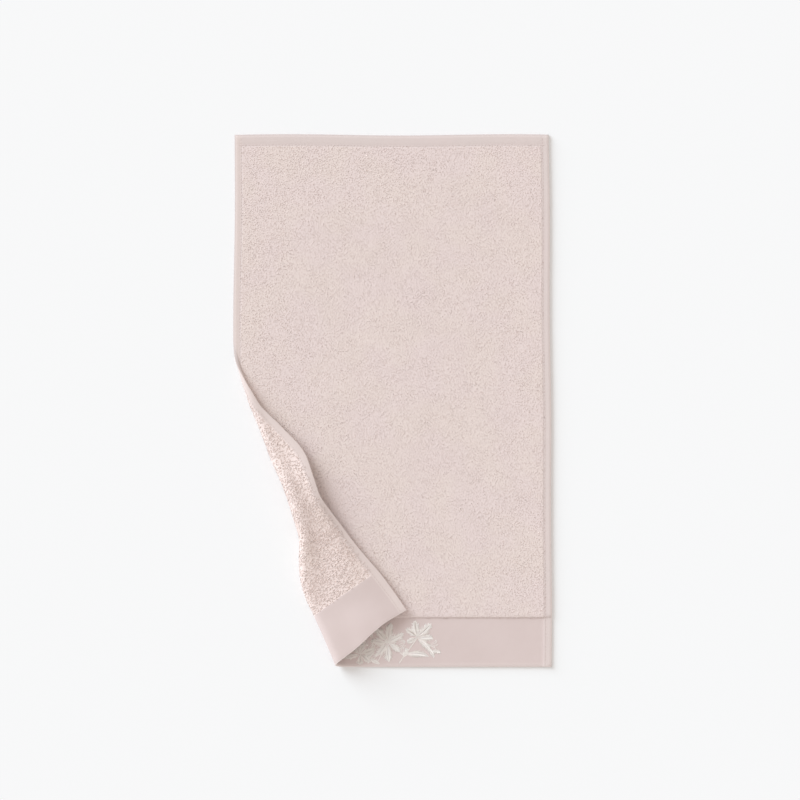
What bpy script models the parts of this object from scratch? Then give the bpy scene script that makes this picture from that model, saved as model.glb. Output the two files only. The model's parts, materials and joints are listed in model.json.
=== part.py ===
"""A hand towel of terry cloth, laid face up with its lower left corner folded over.

The towel is one piece of cloth. Its pile stops at a narrow hem along the top and both sides, and
at a smooth woven border across the lower end. A point of the cloth is named by its place on the
towel while it is still flat: u runs across from the left edge, v runs up from the border's edge.
The cloth lies on the plane z = 0. Units are metres, +Z is up and +Y runs to the top edge.
"""

from collections import namedtuple
from math import asin, cos, hypot, pi, sin

import bmesh
import bpy
from mathutils import Vector

# The towel as it is cut and hemmed.
WIDTH = 0.300
LENGTH = 0.500
SIDE_HEM = 0.007
TOP_HEM = 0.011
BORDER = 0.046
TERRY_THICK = 0.0033
HEM_THICK = 0.0029
BORDER_THICK = 0.0020
PILE_EDGE = 0.0012
# The rise of a side hem where it crosses the border, as a share of its rise elsewhere.
HEM_ON_BORDER = 0.3

# How the outline draws in from a true rectangle.
TOP_NARROWING = 0.0167
NARROWING_STARTS = 0.15
TOP_WAVE = 0.0006
SIDE_WAVE = 0.0004

# The line that the corner is folded about: where it leaves the left edge, and its slant.
FOLD_START = 0.2896
FOLD_SLANT = asin(0.308)
BORDER_DRAW_IN = 0.0032

# The shape of the fold, a row for each place along its line. All are in metres.
#   along     distance along the fold line from the left edge
#   out       how far the rounded fold stands outside the fold line
#   radius    outer radius of the rounded fold
#   reach     how far in from the fold line the free edge comes
#   trough    the same for the hollow behind the fold, and trough_z its height
#   crest     the same for the swell next to the free edge, and crest_z its height
#   edge_z    height of the free edge
FoldRow = namedtuple("FoldRow", "along out radius reach trough trough_z crest crest_z edge_z")
FOLD_ROWS = (
    FoldRow(-0.030, -0.0023, 0.0034, 0.0000, 0.0100, 0.0068, 0.0130, 0.0068, 0.0066),
    FoldRow(0.012, -0.0022, 0.0038, 0.0042, 0.0100, 0.0076, 0.0130, 0.0076, 0.0074),
    FoldRow(0.045, -0.0020, 0.0050, 0.0108, 0.0120, 0.0094, 0.0150, 0.0092, 0.0090),
    FoldRow(0.075, -0.0042, 0.0056, 0.0256, 0.0155, 0.0098, 0.0215, 0.0100, 0.0097),
    FoldRow(0.103, -0.0054, 0.0070, 0.0377, 0.0220, 0.0120, 0.0320, 0.0124, 0.0117),
    FoldRow(0.130, -0.0082, 0.0086, 0.0388, 0.0250, 0.0155, 0.0340, 0.0162, 0.0154),
    FoldRow(0.150, -0.0086, 0.0088, 0.0396, 0.0290, 0.0159, 0.0350, 0.0168, 0.0158),
    FoldRow(0.163, -0.0084, 0.0084, 0.0436, 0.0285, 0.0149, 0.0370, 0.0158, 0.0132),
    FoldRow(0.178, -0.0080, 0.0076, 0.0489, 0.0265, 0.0134, 0.0400, 0.0140, 0.0108),
    FoldRow(0.199, -0.0014, 0.0062, 0.0562, 0.0235, 0.0110, 0.0440, 0.0120, 0.0094),
    FoldRow(0.217, 0.0032, 0.0054, 0.0636, 0.0180, 0.0096, 0.0450, 0.0110, 0.0086),
    FoldRow(0.236, 0.0037, 0.0048, 0.0716, 0.0130, 0.0088, 0.0460, 0.0104, 0.0082),
    FoldRow(0.255, 0.0012, 0.0052, 0.0777, 0.0260, 0.0092, 0.0500, 0.0100, 0.0080),
    FoldRow(0.276, -0.0012, 0.0064, 0.0836, 0.0300, 0.0118, 0.0530, 0.0112, 0.0084),
    FoldRow(0.310, -0.0038, 0.0074, 0.0930, 0.0300, 0.0142, 0.0520, 0.0126, 0.0086),
)

# How finely the flat cloth is cut into faces before it is folded.
LAID_SPACING = 0.050
FOLD_ZONE = 0.018
ROLL_ZONE = 0.016
ROLL_SPACING = 0.0021
FLAP_SPACING = 0.0065
ALONG_SPACING = 0.0090

CLOTH_COLOUR = (0.70, 0.59, 0.56, 1.0)
CLOTH_ROUGHNESS = 0.95

ALONG_FOLD = Vector((sin(FOLD_SLANT), -cos(FOLD_SLANT)))
OUT_OF_FOLD = Vector((-cos(FOLD_SLANT), -sin(FOLD_SLANT)))
ROLL_STEPS = 30
FLAP_STEP = 0.001
NORMAL_STEP = 0.001
MERGE_GAP = 0.0004
EASED_BY = 0.006
SHARP_ANGLE = 0.8


def ramp(value, start, end):
    """0 up to start and 1 from end on, with a smooth rise between."""
    share = min(max((value - start) / (end - start), 0.0), 1.0)
    return share * share * (3.0 - 2.0 * share)


def bump(value, middle, half_width):
    """1 at the middle, down to 0 at half_width to either side."""
    return 1.0 - ramp(abs(value - middle), 0.0, half_width)


def curve_value(before, start, end, after, gaps, share):
    """A smooth curve through uneven points, from start to end."""
    gap_before, gap, gap_after = gaps
    slope_start = ((end - start) / gap * gap_before + (start - before) / gap_before * gap)
    slope_start *= gap / (gap_before + gap)
    slope_end = ((after - end) / gap_after * gap + (end - start) / gap * gap_after)
    slope_end *= gap / (gap + gap_after)
    square = share * share
    cube = square * share
    return (
        (2 * cube - 3 * square + 1) * start
        + (cube - 2 * square + share) * slope_start
        + (3 * square - 2 * cube) * end
        + (cube - square) * slope_end
    )


def fold_row(along):
    """The row of the fold's shape at any place along it."""
    last = len(FOLD_ROWS) - 1
    along = min(max(along, FOLD_ROWS[0].along), FOLD_ROWS[last].along)
    index = 0
    while index < last - 1 and FOLD_ROWS[index + 1].along < along:
        index += 1
    start, end = FOLD_ROWS[index], FOLD_ROWS[index + 1]
    before = FOLD_ROWS[index - 1] if index else start
    after = FOLD_ROWS[index + 2] if index + 2 <= last else end
    gap = end.along - start.along
    gaps = (start.along - before.along or gap, gap, after.along - end.along or gap)
    share = (along - start.along) / gap
    values = [curve_value(*four, gaps, share) for four in zip(before, start, end, after)]
    return FoldRow(along, *values[1:])


def flap_height(row, inward):
    """Height of the flap's back face at a distance in from the fold line."""
    knots = (
        (row.radius - row.out, 2.0 * row.radius),
        (row.trough, row.trough_z),
        (row.crest, row.crest_z),
        (row.reach, row.edge_z),
    )
    height = knots[0][1]
    for (start, low), (end, high) in zip(knots, knots[1:]):
        if end > start:
            height += (high - low) * ramp(inward, start, end)
    return height


def fold_profile(row, furthest):
    """The back face across the fold: (distance out of the fold line, height) from the surface up."""
    centre = row.out - row.radius
    points = []
    for step in range(ROLL_STEPS + 1):
        turn = pi * step / ROLL_STEPS
        points.append((centre + row.radius * sin(turn), row.radius * (1.0 - cos(turn))))
    top = -centre
    count = max(2, int((furthest - top) / FLAP_STEP))
    for step in range(1, count + 1):
        inward = top + (furthest - top) * step / count
        points.append((-inward, flap_height(row, inward)))
    return points


def cloth_beyond(along):
    """Flat cloth outside the fold line, up to the line of the free left edge."""
    return along * sin(FOLD_SLANT) / cos(FOLD_SLANT)


def path_length(points):
    return sum(hypot(b[0] - a[0], b[1] - a[1]) for a, b in zip(points, points[1:]))


def ease(row):
    """How much the cloth is eased in or let out across the fold, so that its edge comes to reach."""
    least = row.radius - row.out + 0.001
    length = path_length(fold_profile(row, max(row.reach, least)))
    eased = length / max(cloth_beyond(row.along) - row.out + row.radius, least)
    return 1.0 + (eased - 1.0) * ramp(row.reach, least, least + EASED_BY)


def walk(points, length):
    """The point at a length along a line of points, which goes straight on past its end."""
    for a, b in zip(points, points[1:]):
        step = hypot(b[0] - a[0], b[1] - a[1])
        if length <= step:
            break
        length -= step
    else:
        length += step
    share = length / step
    return a[0] + (b[0] - a[0]) * share, a[1] + (b[1] - a[1]) * share


def laid(u, v):
    """Where a point of the cloth lies before the corner is folded, from the border's left corner."""
    narrowing = TOP_NARROWING * max(0.0, v - NARROWING_STARTS) / (LENGTH - NARROWING_STARTS)
    across = (u - WIDTH / 2) * (1.0 - narrowing) + SIDE_WAVE * sin(2 * pi * v / 0.19)
    wave = TOP_WAVE * sin(2 * pi * u / 0.21) * ramp(v, 0.35, LENGTH)
    return Vector((across + WIDTH / 2, v + wave))


def folded(u, v):
    """Where a point of the cloth's back face lies on the folded towel."""
    flat = laid(u, v)
    from_start = flat - Vector((0.0, FOLD_START))
    along = from_start.dot(ALONG_FOLD)
    beyond = from_start.dot(OUT_OF_FOLD)
    row = fold_row(along)
    lift_off = row.out - row.radius
    if beyond <= lift_off:
        return Vector((flat.x, flat.y, 0.0))
    profile = fold_profile(row, max(row.reach, row.radius - row.out) + 0.012)
    out, height = walk(profile, (beyond - lift_off) * ease(row))
    drawn = BORDER_DRAW_IN * bump(-out, 0.058, 0.036) * ramp(along, 0.245, 0.284)
    place = Vector((0.0, FOLD_START)) + ALONG_FOLD * (along - drawn) + OUT_OF_FOLD * out
    return Vector((place.x, place.y, height))


def normal_at(u, v):
    """The direction that the towel's face looks in, away from its back."""
    step = NORMAL_STEP
    across = folded(u + step, v) - folded(u - step, v)
    up = folded(u, v + step) - folded(u, v - step)
    return across.cross(up).normalized()


def thickness(u, v):
    """Thickness of the cloth: full in the pile, less in the hems and least in the border."""
    off_side = ramp(min(u, WIDTH - u), SIDE_HEM, SIDE_HEM + PILE_EDGE)
    off_top = ramp(LENGTH - v, TOP_HEM, TOP_HEM + PILE_EDGE)
    off_border = ramp(v, BORDER, BORDER + PILE_EDGE)
    rise = max(HEM_ON_BORDER * (1.0 - off_side), off_border)
    woven = BORDER_THICK + (HEM_THICK - BORDER_THICK) * rise
    return woven + (TERRY_THICK - woven) * off_side * off_top * off_border


def steps(start, end, spacing):
    """Even places from start to end, no further apart than spacing."""
    count = max(1, round((end - start) / spacing))
    return [start + (end - start) * index / count for index in range(count + 1)]


def cut(sheet, faces, place, direction):
    """Cuts the given faces of the flat sheet along a straight line."""
    edges = {edge for face in faces for edge in face.edges}
    verts = {vert for face in faces for vert in face.verts}
    bmesh.ops.bisect_plane(
        sheet,
        geom=list(faces) + list(edges) + list(verts),
        dist=1e-6,
        plane_co=place,
        plane_no=direction,
    )


def fold_place(along, beyond):
    """A place on the flat cloth, from its distances along the fold line and beyond it."""
    place = Vector((0.0, FOLD_START)) + ALONG_FOLD * along + OUT_OF_FOLD * beyond
    return place.to_3d()


def faces_beyond(sheet, distance):
    """The faces of the flat sheet that lie further out than a distance from the fold line."""
    start = Vector((0.0, FOLD_START))
    middles = ((face, face.calc_center_median().to_2d() - start) for face in sheet.faces)
    return [face for face, middle in middles if middle.dot(OUT_OF_FOLD) > distance]


def flat_sheet():
    """The towel before it is folded, cut into faces along its hems and closely across its fold."""
    sheet = bmesh.new()
    corners = ((0.0, 0.0), (WIDTH, 0.0), (WIDTH, LENGTH), (0.0, LENGTH))
    sheet.faces.new([sheet.verts.new((u, v, 0.0)) for u, v in corners])
    side_lines = [SIDE_HEM, SIDE_HEM + PILE_EDGE]
    across_lines = side_lines + [WIDTH - line for line in side_lines]
    across_lines += steps(SIDE_HEM, WIDTH - SIDE_HEM, LAID_SPACING)[1:-1]
    up_lines = [BORDER, BORDER + PILE_EDGE, LENGTH - TOP_HEM - PILE_EDGE, LENGTH - TOP_HEM]
    up_lines += steps(BORDER, LENGTH - TOP_HEM, LAID_SPACING)[1:-1]
    for line in across_lines:
        cut(sheet, sheet.faces[:], (line, 0.0, 0.0), (1.0, 0.0, 0.0))
    for line in up_lines:
        cut(sheet, sheet.faces[:], (0.0, line, 0.0), (0.0, 1.0, 0.0))
    flap_width = FOLD_START * sin(FOLD_SLANT)
    roll_lines = steps(-FOLD_ZONE, ROLL_ZONE, ROLL_SPACING)
    flap_lines = steps(ROLL_ZONE, flap_width, FLAP_SPACING)[1:-1]
    cut(sheet, sheet.faces[:], fold_place(0.0, -FOLD_ZONE), OUT_OF_FOLD.to_3d())
    for line in roll_lines[1:] + flap_lines:
        faces = faces_beyond(sheet, -FOLD_ZONE)
        cut(sheet, faces, fold_place(0.0, line), OUT_OF_FOLD.to_3d())
    fold_length = FOLD_START / cos(FOLD_SLANT)
    for line in steps(-ROLL_ZONE, fold_length + ROLL_ZONE, ALONG_SPACING):
        faces = faces_beyond(sheet, -FOLD_ZONE)
        cut(sheet, faces, fold_place(line, 0.0), ALONG_FOLD.to_3d())
    bmesh.ops.remove_doubles(sheet, verts=sheet.verts[:], dist=MERGE_GAP)
    bmesh.ops.triangulate(sheet, faces=sheet.faces[:])
    return sheet


def folded_cloth(sheet):
    """The folded towel as one closed body: its back, its face and the edge between them."""
    cloth = bmesh.new()
    backs = {}
    fronts = {}
    for vert in sheet.verts:
        u, v = vert.co.x, vert.co.y
        back = folded(u, v)
        backs[vert] = cloth.verts.new(back)
        fronts[vert] = cloth.verts.new(back + normal_at(u, v) * thickness(u, v))
    for face in sheet.faces:
        cloth.faces.new([fronts[vert] for vert in face.verts])
        cloth.faces.new([backs[vert] for vert in reversed(face.verts)])
    for edge in sheet.edges:
        if edge.is_boundary:
            loop = edge.link_loops[0]
            start, end = loop.vert, loop.link_loop_next.vert
            cloth.faces.new((backs[start], backs[end], fronts[end], fronts[start]))
    return cloth


def stand_at_origin(cloth):
    """Moves the cloth so that the middle of its outline is over the origin."""
    places = [vert.co for vert in cloth.verts]
    middle_x = (min(place.x for place in places) + max(place.x for place in places)) / 2
    middle_y = (min(place.y for place in places) + max(place.y for place in places)) / 2
    bmesh.ops.translate(cloth, verts=cloth.verts[:], vec=(-middle_x, -middle_y, 0.0))


def cotton_material():
    material = bpy.data.materials.new("rose_cotton")
    material.use_nodes = True
    shader = material.node_tree.nodes["Principled BSDF"]
    shader.inputs["Base Color"].default_value = CLOTH_COLOUR
    shader.inputs["Roughness"].default_value = CLOTH_ROUGHNESS
    shader.inputs["Metallic"].default_value = 0.0
    return material


def towel():
    """Makes the towel's object."""
    sheet = flat_sheet()
    cloth = folded_cloth(sheet)
    sheet.free()
    stand_at_origin(cloth)
    mesh = bpy.data.meshes.new("towel")
    cloth.to_mesh(mesh)
    cloth.free()
    mesh.shade_smooth()
    mesh.set_sharp_from_angle(angle=SHARP_ANGLE)
    mesh.materials.append(cotton_material())
    bpy.context.scene.collection.objects.link(bpy.data.objects.new("towel", mesh))


def main():
    for item in list(bpy.data.objects):
        bpy.data.objects.remove(item)
    towel()


main()
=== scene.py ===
"""The looks of a terry hand towel that lies face up with its lower left corner folded over.

The cloth is one closed sheet on the folds of its CAD solid. Its pile is real loops of yarn, its
hems carry their stitches, and the smooth border across its lower end carries an embroidered
sprig. Places on the towel are named as on the flat cloth: u runs across from the left edge, v
runs up from the border's edge. Lengths are metres.
"""

import json
from collections import namedtuple
from math import asin, cos, hypot, pi, radians, sin, tan

import bpy
import numpy as np
from bpy.props import FloatProperty, FloatVectorProperty, IntProperty, PointerProperty
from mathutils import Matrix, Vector

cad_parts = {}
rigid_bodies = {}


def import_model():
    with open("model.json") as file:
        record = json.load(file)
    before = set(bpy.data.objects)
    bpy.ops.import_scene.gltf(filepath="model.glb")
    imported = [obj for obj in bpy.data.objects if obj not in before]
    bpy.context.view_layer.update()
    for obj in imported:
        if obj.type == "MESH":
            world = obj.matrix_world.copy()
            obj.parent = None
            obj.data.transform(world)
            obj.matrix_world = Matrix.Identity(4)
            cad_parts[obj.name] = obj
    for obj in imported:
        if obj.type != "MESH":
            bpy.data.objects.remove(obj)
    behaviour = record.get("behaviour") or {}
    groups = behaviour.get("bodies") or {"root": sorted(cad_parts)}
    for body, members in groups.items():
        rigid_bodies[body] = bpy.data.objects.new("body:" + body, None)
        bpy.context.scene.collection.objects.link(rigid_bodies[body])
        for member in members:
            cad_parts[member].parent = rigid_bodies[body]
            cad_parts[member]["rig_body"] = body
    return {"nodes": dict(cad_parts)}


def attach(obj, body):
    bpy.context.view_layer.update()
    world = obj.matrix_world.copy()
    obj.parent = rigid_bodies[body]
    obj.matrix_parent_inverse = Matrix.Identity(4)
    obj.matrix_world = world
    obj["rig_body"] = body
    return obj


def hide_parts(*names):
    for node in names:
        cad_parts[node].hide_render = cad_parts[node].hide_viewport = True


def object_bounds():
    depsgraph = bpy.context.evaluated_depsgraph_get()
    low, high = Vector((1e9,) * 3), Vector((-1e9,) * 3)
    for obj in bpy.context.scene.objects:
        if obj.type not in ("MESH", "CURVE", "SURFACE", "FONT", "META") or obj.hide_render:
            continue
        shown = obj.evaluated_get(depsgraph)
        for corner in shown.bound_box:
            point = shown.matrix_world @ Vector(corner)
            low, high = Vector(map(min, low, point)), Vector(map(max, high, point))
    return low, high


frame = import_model()
CAD_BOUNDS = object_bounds()

bl_info = {
    "name": "Folded terry hand towel",
    "version": (1, 0, 0),
    "blender": (4, 5, 0),
    "location": "3D View > Sidebar > Towel",
    "description": "Makes a terry hand towel with its corner folded over, and the stage it lies on",
    "category": "Object",
}

CLOTH = "towel_cloth"

# How the outline draws in from a true rectangle.
TOP_NARROWING = 0.0167
NARROWING_STARTS = 0.15
TOP_WAVE = 0.0006
TOP_WAVE_LENGTH = 0.21
TOP_WAVE_STARTS = 0.35
SIDE_WAVE = 0.0004
SIDE_WAVE_LENGTH = 0.19

# The line that the corner is folded about: where it leaves the left edge, and its slant.
FOLD_START = 0.2896
FOLD_SLANT = asin(0.308)

# The flap's woven end is drawn in most at a distance in from the fold line, and less about it.
DRAWN_IN = 0.0032
DRAWN_MOST_AT = 0.058
DRAWN_ABOUT_IT = 0.036
DRAWN_ALONG = (0.245, 0.284)

# The shape of the fold, a row for each place along its line, as on the CAD solid.
#   along     distance along the fold line from the left edge
#   out       how far the rounded fold stands outside the fold line
#   radius    outer radius of the rounded fold
#   reach     how far in from the fold line the free edge comes
#   trough    the same for the hollow behind the fold, and trough_z its height
#   crest     the same for the swell next to the free edge, and crest_z its height
#   edge_z    height of the free edge
FoldRow = namedtuple("FoldRow", "along out radius reach trough trough_z crest crest_z edge_z")
FOLD_ROWS = (
    FoldRow(-0.030, -0.0023, 0.0034, 0.0000, 0.0100, 0.0068, 0.0130, 0.0068, 0.0066),
    FoldRow(0.012, -0.0022, 0.0038, 0.0042, 0.0100, 0.0076, 0.0130, 0.0076, 0.0074),
    FoldRow(0.045, -0.0020, 0.0050, 0.0108, 0.0120, 0.0094, 0.0150, 0.0092, 0.0090),
    FoldRow(0.075, -0.0042, 0.0056, 0.0256, 0.0155, 0.0098, 0.0215, 0.0100, 0.0097),
    FoldRow(0.103, -0.0054, 0.0070, 0.0377, 0.0220, 0.0120, 0.0320, 0.0124, 0.0117),
    FoldRow(0.130, -0.0082, 0.0086, 0.0388, 0.0250, 0.0155, 0.0340, 0.0162, 0.0154),
    FoldRow(0.150, -0.0086, 0.0088, 0.0396, 0.0290, 0.0159, 0.0350, 0.0168, 0.0158),
    FoldRow(0.163, -0.0084, 0.0084, 0.0436, 0.0285, 0.0149, 0.0370, 0.0158, 0.0132),
    FoldRow(0.178, -0.0080, 0.0076, 0.0489, 0.0265, 0.0134, 0.0400, 0.0140, 0.0108),
    FoldRow(0.199, -0.0014, 0.0062, 0.0562, 0.0235, 0.0110, 0.0440, 0.0120, 0.0094),
    FoldRow(0.217, 0.0032, 0.0054, 0.0636, 0.0180, 0.0096, 0.0450, 0.0110, 0.0086),
    FoldRow(0.236, 0.0037, 0.0048, 0.0716, 0.0130, 0.0088, 0.0460, 0.0104, 0.0082),
    FoldRow(0.255, 0.0012, 0.0052, 0.0777, 0.0260, 0.0092, 0.0500, 0.0100, 0.0080),
    FoldRow(0.276, -0.0012, 0.0064, 0.0836, 0.0300, 0.0118, 0.0530, 0.0112, 0.0084),
    FoldRow(0.310, -0.0038, 0.0074, 0.0930, 0.0300, 0.0142, 0.0520, 0.0126, 0.0086),
)
FOLD_TABLE = np.array(FOLD_ROWS)
ALONG_FOLD = np.array((sin(FOLD_SLANT), -cos(FOLD_SLANT)))
OUT_OF_FOLD = np.array((-cos(FOLD_SLANT), -sin(FOLD_SLANT)))
# The flap's lower end along the fold line, at two distances out from that line.
FLAP_END_OUT = (-0.09, 0.0)
FLAP_END_ALONG = (0.2754, 0.3045)
# How finely the fold is worked out.
ROLL_STEPS = 20
FLAP_STEP = 0.001
ALONG_STEP = 0.001
ARC_STEP = 0.0005
FURTHEST_FLAP = 0.13
PAST_ENDS = 0.03
NORMAL_STEP = 0.0004
SHORTEST_FLAP = 0.001
EASED_BY = 0.006


def metres(name, about, default):
    return FloatProperty(
        name=name, description=about, default=default, min=0.0, unit="LENGTH", precision=5
    )


def colour(name, about, default):
    return FloatVectorProperty(
        name=name, description=about, default=default, size=3, min=0.0, max=1.0, subtype="COLOR"
    )


class TowelSizes(bpy.types.PropertyGroup):
    """Sizes of the towel as it is cut and hemmed."""

    width: metres("Width", "Flat width of the towel", 0.300)
    length: metres("Length", "Flat length of the towel", 0.500)
    side_hem: metres("Side hem", "Width of the hems along both sides", 0.007)
    top_hem: metres("Top hem", "Width of the hem along the top", 0.011)
    border: metres("Border", "Width of the smooth woven border", 0.046)
    terry_thick: metres("Terry thickness", "Base cloth and the roots of its pile", 0.0029)
    hem_thick: metres("Hem thickness", "Thickness of the hems", 0.0029)
    border_thick: metres("Border thickness", "Thickness of the woven border", 0.0020)
    pile_edge: metres("Pile edge", "Width over which the pile falls to a hem", 0.0012)
    edge_round: metres("Edge rounding", "Width of a hem's rounded edge", 0.0008)
    mesh_spacing: metres("Mesh spacing", "Distance between lines of the cloth's mesh", 0.0024)


class PileSizes(bpy.types.PropertyGroup):
    """Sizes of the terry loops."""

    pitch: metres("Pitch", "Distance between neighbouring loops", 0.00158)
    loop_length: metres("Loop length", "Usual length of a loop along the cloth", 0.0017)
    loop_height: metres("Loop height", "How far a loop stands above the base cloth", 0.00010)
    yarn_radius: metres("Yarn radius", "Half the thickness of a loop's yarn", 0.00028)
    back_loft: FloatProperty(
        name="Back loft", description="How much higher the back's loops stand", default=2.8, min=0.5
    )
    seed: IntProperty(name="Seed", description="Chooses how the loops are scattered", default=7)


class ThreadSizes(bpy.types.PropertyGroup):
    """Sizes of the stitches and of the embroidery."""

    stitch_length: metres("Stitch length", "Length of one hem stitch", 0.0026)
    stitch_gap: metres("Stitch gap", "Gap between two hem stitches", 0.0005)
    stitch_radius: metres("Stitch thread", "Half the thickness of the hem thread", 0.00018)
    thread_radius: metres("Embroidery thread", "Half the thickness of its thread", 0.00013)
    raise_height: metres("Raise", "How high the middle of a petal is padded", 0.00005)


class TowelColours(bpy.types.PropertyGroup):
    """Colours of the yarns and threads."""

    rose: colour("Rose", "Main colour of the terry yarn", (0.812, 0.692, 0.656))
    sand: colour("Sand", "Warmer tint of the terry yarn", (0.814, 0.698, 0.650))
    blush: colour("Blush", "Pinker tint of the terry yarn", (0.811, 0.688, 0.661))
    # Painted light: lighter than the face's yarn, which makes up for the shade on the folded-over flap and
    # among its taller loops.
    lit_nap: colour("Nap", "Colour of the yarn on the towel's back", (0.955, 0.806, 0.752))
    hem: colour("Hem", "Colour of the hems", (0.712, 0.614, 0.584))
    # Painted light: a lighter colour on the right and bottom edges, which lie in shade.
    lit_rim: colour("Rim", "Colour of the outermost edge", (0.900, 0.800, 0.770))
    # Besides the hems' backs, this lighter colour is painted light on the left hem, on the side the light
    # falls from.
    back_and_lit_hem: colour("Back hem", "Colour of the hems' backs", (0.750, 0.636, 0.600))
    # Painted shade: a darker colour on the left and top edges, which face the light, above the fold.
    shaded: colour("Shaded", "Colour of the worn left and top edges", (0.560, 0.470, 0.445))
    woven: colour("Woven", "Colour of the smooth border", (0.686, 0.567, 0.540))
    woven_light: colour("Woven light", "Its lighter threads", (0.730, 0.612, 0.585))
    thread: colour("Hem thread", "Colour of the stitches in the hems", (0.705, 0.590, 0.560))
    ivory: colour("Ivory", "Main colour of the embroidery", (0.972, 0.926, 0.884))
    cream: colour("Cream", "Warmer embroidery colour", (0.952, 0.878, 0.826))


def sizes():
    return bpy.context.scene.towel_sizes


def pile_sizes():
    return bpy.context.scene.towel_pile


def thread_sizes():
    return bpy.context.scene.towel_thread


def colours():
    return bpy.context.scene.towel_colours


# ---- Curves and noise ----


def ramp(value, start, end):
    """0 up to start and 1 from end on, with a smooth rise between."""
    share = np.clip((value - start) / (end - start), 0.0, 1.0)
    return share * share * (3.0 - 2.0 * share)


def bump(value, middle, half_width):
    """1 at the middle, down to 0 at half_width to either side."""
    return 1.0 - ramp(np.abs(value - middle), 0.0, half_width)


def blended(table, rows, columns, rise, run):
    """Values between neighbours of a table that goes on round its edges."""
    after, right = (rows + 1) % len(table), (columns + 1) % len(table[0])
    rows, columns = rows % len(table), columns % len(table[0])
    low = table[rows, columns] * (1 - run) + table[rows, right] * run
    high = table[after, columns] * (1 - run) + table[after, right] * run
    return low * (1 - rise) + high * rise


def smooth_noise(x, y, cell, seed):
    """Soft random hills between -1 and 1, about one to a cell."""
    grid = np.random.default_rng(seed).uniform(-1.0, 1.0, (64, 64))
    columns, rows = np.floor(x / cell).astype(int), np.floor(y / cell).astype(int)
    return blended(grid, rows, columns, ramp(y / cell - rows, 0.0, 1.0), ramp(x / cell - columns, 0.0, 1.0))


def hills(x, y, layers, seed):
    """Random hills in layers, each with a height and a width."""
    return sum(
        height * smooth_noise(x, y, width, seed + number)
        for number, (height, width) in enumerate(layers)
    )


# Places in a table stay inside its last row and column by a little over one.
INSIDE_TABLE = 1.001


def read_table(table, rows, columns):
    """Values of a table between its rows and columns, no further out than its edges."""
    rows = np.clip(rows, 0.0, table.shape[0] - INSIDE_TABLE)
    columns = np.clip(columns, 0.0, table.shape[1] - INSIDE_TABLE)
    row, column = rows.astype(int), columns.astype(int)
    return blended(table, row, column, rows - row, columns - column)


# ---- The fold ----


def slopes_of(table):
    """Slopes of smooth curves through a table's columns, by its first column."""
    gaps = np.diff(table[:, :1], axis=0)
    chords = np.diff(table, axis=0) / gaps
    inner = (chords[1:] * gaps[:-1] + chords[:-1] * gaps[1:]) / (gaps[:-1] + gaps[1:])
    return np.concatenate((chords[:1] / 2, inner, chords[-1:] / 2))


FOLD_SLOPES = slopes_of(FOLD_TABLE)


def fold_row(along):
    """The row of the fold's shape at any place along it."""
    marks = FOLD_TABLE[:, 0]
    along = min(max(along, marks[0]), marks[-1])
    index = min(max(int(np.searchsorted(marks, along)) - 1, 0), len(marks) - 2)
    start, end = FOLD_TABLE[index : index + 2]
    slope_start, slope_end = FOLD_SLOPES[index : index + 2] * (end[0] - start[0])
    share = (along - start[0]) / (end[0] - start[0])
    square, cube = share**2, share**3
    values = (2 * cube - 3 * square + 1) * start + (cube - 2 * square + share) * slope_start
    values += (3 * square - 2 * cube) * end + (cube - square) * slope_end
    return FoldRow(along, *values[1:])


def flap_height(row, inward):
    """Height of the flap's back face at a distance in from the fold line."""
    knots = (
        (row.radius - row.out, 2.0 * row.radius),
        (row.trough, row.trough_z),
        (row.crest, row.crest_z),
        (row.reach, row.edge_z),
    )
    height = knots[0][1]
    for (start, low), (end, high) in zip(knots, knots[1:]):
        if end > start:
            height += (high - low) * float(ramp(inward, start, end))
    return height


def fold_profile(row, furthest):
    """The back face across the fold: distances out of the fold line and heights, from the surface."""
    centre = row.out - row.radius
    turns = [pi * step / ROLL_STEPS for step in range(ROLL_STEPS + 1)]
    outs = [centre + row.radius * sin(turn) for turn in turns]
    heights = [row.radius * (1.0 - cos(turn)) for turn in turns]
    count = max(2, int((furthest + centre) / FLAP_STEP))
    for step in range(1, count + 1):
        inward = -centre + (furthest + centre) * step / count
        outs.append(-inward)
        heights.append(flap_height(row, inward))
    return np.array(outs), np.array(heights)


def lengths_along(outs, heights):
    """Length of a line of points from its start to each of them."""
    return np.concatenate(([0.0], np.cumsum(np.hypot(np.diff(outs), np.diff(heights)))))


def ease(row):
    """How much the cloth is eased in or let out across the fold, so that its edge comes to reach."""
    least = row.radius - row.out + SHORTEST_FLAP
    length = lengths_along(*fold_profile(row, max(row.reach, least)))[-1]
    eased = length / max(row.along * tan(FOLD_SLANT) - row.out + row.radius, least)
    return 1.0 + (eased - 1.0) * float(ramp(row.reach, least, least + EASED_BY))


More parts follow.
